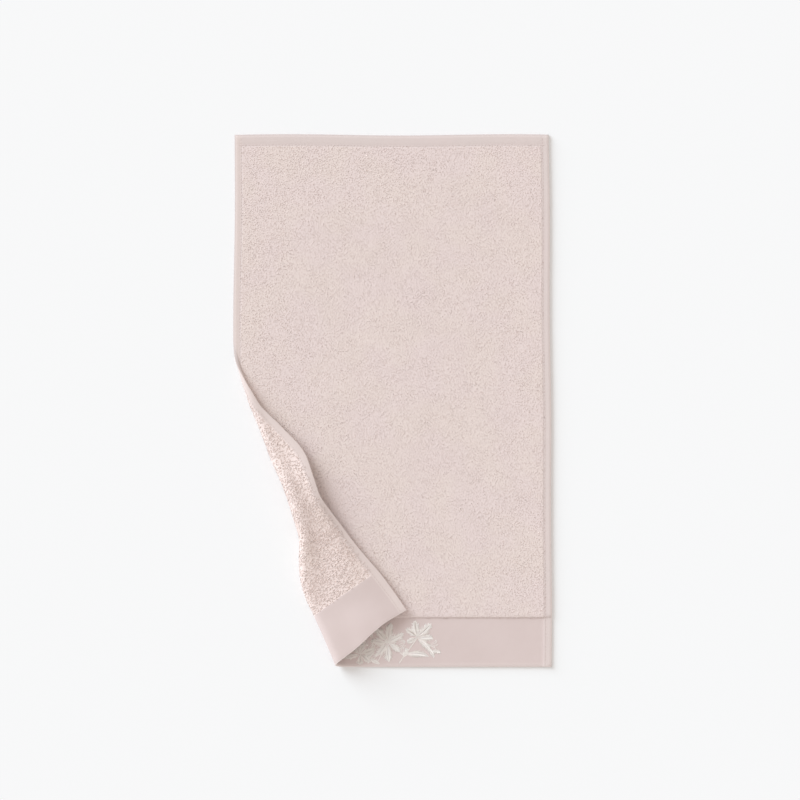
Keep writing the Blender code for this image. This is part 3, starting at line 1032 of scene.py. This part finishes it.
# A cluster's knots wind outwards by this turn from one to the next, in radians, and stray from it.
KNOT_STEP = 2.4
KNOT_STRAYS = (-0.3, 0.3)
# A knot is a ring of thread that rises as it winds.
KNOT_RADIUS = 0.00034
KNOT_POINTS = 8
KNOT_WINDING = 2.2 * pi
KNOT_SIZES = (0.8, 1.25)
KNOT_THREAD = 0.62
KNOT_LIFT = (-0.00022, 0.00018)
KNOT_TINTS = (0.5, 1.0)
# The thickness of a stroke along it, as shares of the thread's, and how flat it lies.
STROKE_THICK = np.array((0.85, 1.0, 1.0, 0.8))
STROKE_FLATNESS = 0.65
SPRIG_SEED = 17


def in_metres(across, up):
    return np.array((across, up)) / 1000


def towards(turn):
    return np.array((cos(turn), sin(turn)))


def petal_strokes(rng, petal):
    """Satin stitches of one petal or leaf, slanting out from a vein down its middle."""
    length, bow = petal.length / 1000, petal.bow / 1000
    axis = towards(radians(petal.turn))
    across = np.array((-axis[1], axis[0]))
    count = int(length / SATIN_GAP)
    share = (np.arange(count) + 0.5) / count
    outline = OUTLINE_SCALE * share**OUTLINE_FOOT * (1.0 - share) ** OUTLINE_TIP
    spine = in_metres(petal.across, petal.up) + axis * (share * length * SATIN_UP_TO)[:, None]
    spine = spine + across * (bow * np.sin(pi * share))[:, None]
    paths, heights = [], []
    for hand in (-1.0, 1.0):
        tufts = np.repeat(rng.uniform(*TUFTS, count // TUFT + 1), TUFT)[:count]
        half = outline * petal.width / 1000 * (tufts * rng.uniform(*RAGGED, count))
        lean = np.minimum(SATIN_LEAN * half, (LEAN_UP_TO - share) * length * LEAN_SHARE)
        reach = across * (hand * half)[:, None] + axis * lean[:, None]
        paths.append(spine[:, None, :] + reach[:, None, :] * SATIN_STEPS[None, :, None])
        heights.append(SATIN_RISE * np.minimum(1.0, half / FULL_HALF_WIDTH)[:, None])
    tints = np.tile(FOOT_TINT + TIP_ADDS * share, 2) + rng.normal(0.0, TINT_NOISE, 2 * count)
    return np.concatenate(paths), np.concatenate(heights), tints


def curved_strokes(start, bend, end, width, tint):
    """Slanting stitches that overlap in rows along a line from start to end, bent towards a point."""
    length = np.linalg.norm(bend - start) + np.linalg.norm(end - bend)
    rows = max(1, round(width / STEM_ROW))
    count = max(2, int(length / (STEM_STROKE * STEM_PITCH)))
    middles = np.repeat((np.arange(count) + 0.5) / count, rows)
    row = np.tile(np.arange(rows) - (rows - 1) / 2, count)
    steps = STEM_STEPS * STEM_STROKE / length
    share = np.clip((middles + ROW_STAGGER * row / count)[:, None] + steps, 0.0, 1.0)[..., None]
    paths = (1 - share) ** 2 * start + 2 * share * (1 - share) * bend + share**2 * end
    direction = unit(end - start)
    aside = np.array((-direction[1], direction[0]))
    slant = thread_sizes().thread_radius * STEM_SLANT
    paths = paths + aside * ((row * STEM_ROW)[:, None] + slant)[..., None]
    return paths, np.tile(STEM_RISE, (len(row), 1)), np.full(len(row), tint)


def embroidery_strokes(rng):
    """The sprig's strokes as paths in metres on the border, heights and tints, and its knots' places."""
    made = [petal_strokes(rng, petal) for petal in PETALS]
    knots = []
    for stem in STEMS:
        start, end = in_metres(stem.across, stem.up), in_metres(stem.end_across, stem.end_up)
        bend = in_metres(stem.bend_across, stem.bend_up)
        made.append(curved_strokes(start, bend, end, stem.width / 1000, STEM_TINT))
    for spray in SPRAYS:
        start = in_metres(spray.across, spray.up)
        for number in range(spray.count):
            share = (number + 0.5) / spray.count - 0.5
            turn = radians(spray.turn + spray.spread * share + rng.uniform(*STALK_TURNS))
            length = spray.length / 1000 * rng.uniform(*STALK_LENGTHS)
            end = start + length * towards(turn)
            side = STALK_BOW * length * np.array((-sin(turn), cos(turn))) * rng.uniform(-1, 1)
            made.append(curved_strokes(start, (start + end) / 2 + side, end, 0.0, STALK_TINT))
            if spray.knotted:
                knots.append(end)
    for cluster in KNOTS:
        for number in range(cluster.count):
            out = cluster.radius * ((number + 0.5) / cluster.count) ** 0.5 / 1000
            turn = KNOT_STEP * number + rng.uniform(*KNOT_STRAYS)
            knots.append(in_metres(cluster.across, cluster.up) + out * towards(turn))
    return [np.concatenate(parts) for parts in zip(*made)], np.array(knots)


def on_border(towel, places, heights):
    """Places at heights over the border's face, and the directions it looks in."""
    u = places[..., 0] + sizes().width / 2
    v = places[..., 1]
    return towel.place(u, v, cloth_thickness(u, v) + heights), towel.normal(u, v)


def embroidery(towel):
    """The sprig in two pieces: its satin and stem stitches, and its knots."""
    thread = thread_sizes()
    rng = np.random.default_rng(SPRIG_SEED)
    (strokes, raised, tints), knots = embroidery_strokes(rng)
    paths, ups = on_border(towel, strokes, raised * thread.raise_height)
    radii = np.full(paths.shape[:2], thread.thread_radius) * STROKE_THICK
    finish = thread_finish("embroidery_thread", colours().cream, colours().ivory)
    tints = np.clip(tints, 0.0, 1.0)
    sprig = tube_piece("embroidery", paths, ups, radii, tints, finish, flatness=STROKE_FLATNESS)
    turns = np.linspace(0.0, KNOT_WINDING, KNOT_POINTS)
    ring = np.stack((np.cos(turns), np.sin(turns)), axis=-1)
    across = KNOT_RADIUS * rng.uniform(*KNOT_SIZES, len(knots))
    places = knots[:, None, :] + ring * across[:, None, None]
    lift = thread.raise_height + np.linspace(*KNOT_LIFT, KNOT_POINTS)
    paths, ups = on_border(towel, places, lift * np.ones(places.shape[:2]))
    radii = np.full(paths.shape[:2], KNOT_RADIUS * KNOT_THREAD)
    tints = rng.uniform(*KNOT_TINTS, len(paths))
    knotted = tube_piece("embroidered_knots", paths, ups, radii, tints, finish, sides=4, flatness=1.0)
    return [sprig, knotted]


# ---- Finishes ----


class Value:
    """A number in a material, which Python's own operators join with Math nodes."""

    def __init__(self, finish, socket):
        self.finish = finish
        self.socket = socket

    def math(self, operation, first, second=0.0):
        node = self.finish.node("ShaderNodeMath", {"operation": operation}, {0: first, 1: second})
        return Value(self.finish, node.outputs[0])

    def __add__(self, other):
        return self.math("ADD", self, other)

    def __sub__(self, other):
        return self.math("SUBTRACT", self, other)

    def __rsub__(self, other):
        return self.math("SUBTRACT", other, self)

    def __mul__(self, other):
        return self.math("MULTIPLY", self, other)

    __radd__ = __add__
    __rmul__ = __mul__

    def least(self, other):
        return self.math("MINIMUM", self, other)

    def most(self, other):
        return self.math("MAXIMUM", self, other)

    def wave(self):
        return self.math("SINE", self)

    def rise(self, start, end):
        """0 up to start and 1 from end on, with a smooth rise between."""
        settings = {"interpolation_type": "SMOOTHSTEP"}
        values = {"Value": self, "From Min": start, "From Max": end}
        node = self.finish.node("ShaderNodeMapRange", settings, values)
        return Value(self.finish, node.outputs["Result"])


MATT_COTTON = {
    "Roughness": 0.92,
    "Specular_IOR_Level": 0.15,
    "Sheen_Weight": 0.15,
    "Sheen_Roughness": 0.6,
}
SMOOTH_THREAD = {"Roughness": 0.75, "Sheen_Weight": 0.1}


class Finish:
    """A material with one shader, and the nodes that lead to it."""

    def __init__(self, name, **constants):
        self.material = bpy.data.materials.new(name)
        self.material.use_nodes = True
        self.shader = self.material.node_tree.nodes["Principled BSDF"]
        for socket, value in constants.items():
            self.shader.inputs[socket.replace("_", " ")].default_value = value

    def node(self, kind, settings=None, values=None):
        """Adds a node, with its settings made first and then its sockets' values or links."""
        node = self.material.node_tree.nodes.new(kind)
        for name, setting in (settings or {}).items():
            setattr(node, name, setting)
        for socket, value in (values or {}).items():
            if isinstance(value, Value):
                value = value.socket
            if isinstance(value, bpy.types.NodeSocket):
                self.material.node_tree.links.new(value, node.inputs[socket])
            else:
                node.inputs[socket].default_value = value
        return node

    def feed(self, socket, value):
        self.material.node_tree.links.new(value, self.shader.inputs[socket])

    def attribute(self, name):
        node = self.node("ShaderNodeAttribute", {"attribute_name": name})
        return Value(self, node.outputs["Fac"])

    def uv_map(self, name):
        """A UV map, and its two parts as numbers."""
        places = self.node("ShaderNodeUVMap", {"uv_map": name}).outputs["UV"]
        parts = self.node("ShaderNodeSeparateXYZ", {}, {0: places})
        return places, Value(self, parts.outputs[0]), Value(self, parts.outputs[1])

    def noise(self, places, grain):
        values = dict(zip(("Vector", "Scale", "Detail", "Roughness"), (places, *grain[:3])))
        return Value(self, self.node("ShaderNodeTexNoise", {}, values).outputs["Fac"])

    def patches(self, places, grain):
        return self.noise(places, grain).rise(grain.low, grain.high)

    def mixed(self, share, low, high):
        """A colour between two colours or colour sockets."""
        low, high = (end if isinstance(end, bpy.types.NodeSocket) else rgba(end) for end in (low, high))
        values = {"Factor": share, 6: low, 7: high}
        node = self.node("ShaderNodeMix", {"data_type": "RGBA"}, values)
        return node.outputs[2]

    def relief(self, height, strength=1.0):
        """Makes the surface look raised by a height in metres."""
        values = {"Height": height, "Distance": 1.0, "Strength": strength}
        self.feed("Normal", self.node("ShaderNodeBump", {}, values).outputs["Normal"])


def rgba(colour):
    return (*colour, 1.0)


# The plies of a yarn or thread: how many there are, how long their twist is, and their relief.
PLIES = 2
YARN_TWIST = 0.0009
YARN_RELIEF = 0.00003
THREAD_TWIST = 0.0006
THREAD_RELIEF = 0.00001
# Noise in a finish: hills to a metre, their detail and roughness, and the values that patches of it
# rise between.
Grain = namedtuple("Grain", "scale detail roughness low high")
YARN_DRIFT = Grain(24.0, 1.0, 0.5, 0.28, 0.72)
FACE_FLECKS = Grain(1300.0, 2.0, 0.5, 0.45, 0.75)
BACK_FLECKS = Grain(1300.0, 2.0, 0.5, 0.50, 0.72)
CLOTH_DRIFT = Grain(24.0, 1.0, 0.5, 0.35, 0.65)
CLOUDS = Grain(14.0, 1.0, 0.5, 0.3, 0.7)
# Random patches of painted shade for the pile's depths.
TERRY_DEPTH_SHADE = Grain(520.0, 3.0, 0.6, 0.35, 0.75)
TERRY_GROUND = Grain(800.0, 3.0, 0.65, 0.0, 1.0)


def twisted_plies(finish, pitch):
    """The relief of plies twisted together: ridges that run slanting round a tube."""
    _, around, along = finish.uv_map("along_thread")
    return (around * (2 * pi * PLIES) + along * (2 * pi / pitch)).wave()


def yarn_finish(name, cool, middle, warm, flecked, flecks):
    """The terry yarn: soft, matt, and a little uneven in colour from loop to loop and along it."""
    finish = Finish(name, **MATT_COTTON)
    places = finish.node("ShaderNodeTexCoord").outputs["Object"]
    drift = finish.patches(places, YARN_DRIFT)
    low, high = finish.mixed(drift, cool, middle), finish.mixed(drift, middle, warm)
    own = finish.mixed(finish.attribute("tint"), low, high)
    fleck = finish.patches(places, flecks) * flecked
    finish.feed("Base Color", finish.mixed(fleck, own, colours().woven))
    finish.relief(twisted_plies(finish, YARN_TWIST) * YARN_RELIEF)
    return finish.material


def thread_finish(name, low, high):
    """A smooth twisted thread."""
    finish = Finish(name, **SMOOTH_THREAD)
    finish.feed("Base Color", finish.mixed(finish.attribute("tint"), low, high))
    finish.relief(twisted_plies(finish, THREAD_TWIST) * THREAD_RELIEF)
    return finish.material


# How much painted shade of the pile's depths, in random patches, and the back's lighter nap, painted light,
# tint the terry ground, and how wide its edges are.
DEPTH_SHADE_TINT = 0.34
LIT_NAP_TINT = 0.5
TERRY_EDGE = 0.0012
BORDER_EDGE = 0.0008
# The weave of the hems and the border: its two pitches, and how much it and its clouds tint them.
WARP_PITCH = 0.00062
WEFT_PITCH = 0.00054
WEAVE_TINT = 0.12
CLOUD_TINT = 0.5
LEAST_TINT = 0.1
# Painted light and shade along the edges: the width over which the left hem's painted light ends, and where
# the painted light along the right and bottom edges and the painted shade along the left and top edges
# start and stop fading, in from the edge, with how much the wider band of painted light tints. The painted
# shade starts this far below the fold.
LIT_LEFT_HEM_EDGE = 0.0010
LIT_EDGE_BAND = (0.0004, 0.0048)
LIT_EDGE_TINT = 0.42
LIT_RIM_BAND = (0.0002, 0.0012)
SHADED_EDGE_BAND = (0.0002, 0.0018)
SHADED_BELOW_FOLD = 0.02
# The relief of the terry ground and of the weave, and the strength of both.
GROUND_RELIEF = 0.0004
WEAVE_RELIEF = 0.00003
CLOTH_RELIEF = 0.8


def cloth_finish():
    """The cloth: rough terry ground, and smooth woven hems and border."""
    size, tint = sizes(), colours()
    finish = Finish("towel_cloth", **MATT_COTTON)
    flat, u, v = finish.uv_map("flat_cloth")
    off_side = u.least(size.width - u).rise(size.side_hem, size.side_hem + TERRY_EDGE)
    off_top = (size.length - v).rise(size.top_hem, size.top_hem + TERRY_EDGE)
    pile = off_side * off_top * v.rise(size.border, size.border + BORDER_EDGE)
    drift = finish.patches(flat, CLOTH_DRIFT)
    # Painted shade: random patches of the terry ground darkened towards the woven colour, for the shade
    # down among the loops.
    depth_shade = finish.patches(flat, TERRY_DEPTH_SHADE)
    terry = finish.mixed(drift, tint.blush, tint.sand)
    terry = finish.mixed(depth_shade * DEPTH_SHADE_TINT, terry, tint.woven)
    on_back = finish.attribute("on_back")
    # Painted light: the back's terry ground is tinted towards the lighter nap colour.
    terry = finish.mixed(on_back * LIT_NAP_TINT, terry, tint.lit_nap)
    weave = (u * (2 * pi / WARP_PITCH)).wave() * (v * (2 * pi / WEFT_PITCH)).wave()
    cloud = finish.patches(flat, CLOUDS)
    uneven = weave * WEAVE_TINT + cloud * CLOUD_TINT + LEAST_TINT
    woven = finish.mixed(uneven, tint.woven, tint.woven_light)
    hem = finish.mixed(uneven, tint.hem, tint.woven_light)
    # Painted light: the left hem, on the side the light comes from, takes the hems' lighter back colour.
    lit_left_hem = 1 - u.rise(size.side_hem - LIT_LEFT_HEM_EDGE, size.side_hem)
    hem = finish.mixed(on_back.most(lit_left_hem), hem, tint.back_and_lit_hem)
    woven = finish.mixed(off_side * off_top, hem, woven)
    # Painted light on the right and bottom edges, which lie in shade: a wide band on the face tinted
    # towards the lighter rim colour, and the rim colour itself at the outermost edge.
    to_rim = (size.width - u).least(v)
    lit_edge = (1 - to_rim.rise(*LIT_EDGE_BAND)) * (1 - on_back) * LIT_EDGE_TINT
    woven = finish.mixed(lit_edge, woven, tint.lit_rim)
    woven = finish.mixed(to_rim.rise(*LIT_RIM_BAND), tint.lit_rim, woven)
    # Painted shade on the left and top edges, which face the light, from a little below the fold up.
    shaded = 1 - u.least(size.length - v).rise(*SHADED_EDGE_BAND)
    woven = finish.mixed(shaded * v.rise(FOLD_START - SHADED_BELOW_FOLD, FOLD_START), woven, tint.shaded)
    finish.feed("Base Color", finish.mixed(pile, woven, terry))
    ground = finish.noise(flat, TERRY_GROUND) * pile * GROUND_RELIEF
    finish.relief(ground + weave * (1 - pile) * WEAVE_RELIEF, CLOTH_RELIEF)
    return finish.material


# ---- The stage ----


FLOOR_SIZE = 8.0
FLOOR_GAP = 0.00005
# The camera: the width it sees, where it stands, and its lens. The sun's angles are in degrees.
VIEW_WIDTH = 0.752
VIEW_ASIDE = 0.0070
VIEW_UP = 0.0005
CAMERA_HEIGHT = 3.0
SENSOR_MM = 36.0
FURTHEST_SEEN = 50.0
SUN_TURN = 40.0
SUN_HEIGHT = 21.0
SUN_SPREAD = 42.0
SUN_STRENGTH = 2.66
SKY_STRENGTH = 0.705
SKY_COLOUR = (1.0, 0.953, 0.917)
SUN_COLOUR = (1.0, 1.12, 1.22)
FLOOR_COLOUR = (0.93, 0.93, 0.93)


def make_floor():
    floor_height = CAD_BOUNDS[0][2] - FLOOR_GAP
    bpy.ops.mesh.primitive_plane_add(size=FLOOR_SIZE, location=(0.0, 0.0, floor_height))
    floor = bpy.context.object
    floor.name = "floor"
    bpy.ops.object.transform_apply(location=True)
    finish = Finish("pale_floor", Base_Color=rgba(FLOOR_COLOUR), Roughness=1.0, Specular_IOR_Level=0.0)
    floor.data.materials.append(finish.material)


def make_light():
    """Soft light from the upper left and low, and an even pale room."""
    world = bpy.data.worlds.new("pale_room")
    world.use_nodes = True
    sky = world.node_tree.nodes["Background"]
    sky.inputs["Color"].default_value = rgba(SKY_COLOUR)
    sky.inputs["Strength"].default_value = SKY_STRENGTH
    bpy.context.scene.world = world
    height, turn = radians(SUN_HEIGHT), radians(SUN_TURN)
    ray = Vector((cos(height) * cos(turn), -cos(height) * sin(turn), -sin(height)))
    bpy.ops.object.light_add(type="SUN", rotation=ray.to_track_quat("-Z", "Y").to_euler())
    window = bpy.context.object
    window.name = "window"
    window.data.energy = SUN_STRENGTH
    window.data.color = SUN_COLOUR
    window.data.angle = radians(SUN_SPREAD)


def make_camera():
    """A camera that looks straight down on the towel."""
    bpy.ops.object.camera_add(location=(VIEW_ASIDE, VIEW_UP, CAMERA_HEIGHT), rotation=(0.0, 0.0, 0.0))
    camera = bpy.context.object
    camera.name = "camera"
    camera.data.sensor_width = SENSOR_MM
    camera.data.lens = SENSOR_MM * CAMERA_HEIGHT / VIEW_WIDTH
    camera.data.clip_end = FURTHEST_SEEN
    bpy.context.scene.camera = camera


def make_stage():
    """A pale floor, soft light and a camera."""
    bpy.ops.object.select_all(action="DESELECT")
    make_floor()
    make_light()
    make_camera()
    bpy.context.scene.view_settings.view_transform = "Standard"


# ---- The add-on ----


def declare(piece):
    """Says what body a piece rides on."""
    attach(piece, "root")


class TOWEL_OT_cloth(bpy.types.Operator):
    """Makes the towel's cloth"""

    bl_idname = "towel.cloth"
    bl_label = "Cloth"

    def execute(self, context):
        cloth = new_object(CLOTH, cloth_mesh(FoldedTowel()), cloth_finish())
        declare(cloth)
        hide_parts("towel")
        return {"FINISHED"}


class TOWEL_OT_pile(bpy.types.Operator):
    """Makes the terry loops on the cloth"""

    bl_idname = "towel.pile"
    bl_label = "Pile"

    def execute(self, context):
        for piece in pile_pieces(FoldedTowel()):
            declare(piece)
        return {"FINISHED"}


class TOWEL_OT_stitches(bpy.types.Operator):
    """Makes the stitches of the hems"""

    bl_idname = "towel.stitches"
    bl_label = "Hem stitches"

    def execute(self, context):
        declare(hem_stitches(FoldedTowel()))
        return {"FINISHED"}


class TOWEL_OT_embroidery(bpy.types.Operator):
    """Makes the embroidered sprig on the border"""

    bl_idname = "towel.embroidery"
    bl_label = "Embroidery"

    def execute(self, context):
        for piece in embroidery(FoldedTowel()):
            declare(piece)
        return {"FINISHED"}


class TOWEL_OT_stage(bpy.types.Operator):
    """Makes the floor, the light and the camera"""

    bl_idname = "towel.stage"
    bl_label = "Stage"

    def execute(self, context):
        make_stage()
        return {"FINISHED"}


class TOWEL_PT_panel(bpy.types.Panel):
    """The towel's sizes, colours and steps"""

    bl_label = "Hand towel"
    bl_idname = "TOWEL_PT_panel"
    bl_space_type = "VIEW_3D"
    bl_region_type = "UI"
    bl_category = "Towel"

    def draw(self, context):
        for group in (sizes(), pile_sizes(), thread_sizes(), colours()):
            column = self.layout.column()
            for name in group.bl_rna.properties.keys():
                if name not in ("rna_type", "name"):
                    column.prop(group, name)
        for operator in OPERATORS:
            self.layout.operator(operator.bl_idname)


GROUPS = {
    "towel_sizes": TowelSizes,
    "towel_pile": PileSizes,
    "towel_thread": ThreadSizes,
    "towel_colours": TowelColours,
}
OPERATORS = (TOWEL_OT_cloth, TOWEL_OT_pile, TOWEL_OT_stitches, TOWEL_OT_embroidery, TOWEL_OT_stage)


def register():
    for group in (*GROUPS.values(), *OPERATORS, TOWEL_PT_panel):
        bpy.utils.register_class(group)
    for name, group in GROUPS.items():
        setattr(bpy.types.Scene, name, PointerProperty(type=group))


def unregister():
    for name in GROUPS:
        delattr(bpy.types.Scene, name)
    for group in (TOWEL_PT_panel, *reversed(OPERATORS), *reversed(GROUPS.values())):
        bpy.utils.unregister_class(group)


def main():
    register()
    bpy.ops.towel.cloth()
    bpy.ops.towel.pile()
    bpy.ops.towel.stitches()
    bpy.ops.towel.embroidery()
    bpy.ops.towel.stage()
    cloth = bpy.data.objects[CLOTH]
    on_cloth = [piece for piece in bpy.data.objects if piece.get("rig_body") and piece != cloth]
    on_cloth = [piece for piece in on_cloth if piece.name not in frame["nodes"]]


if __name__ == "__main__":
    main()
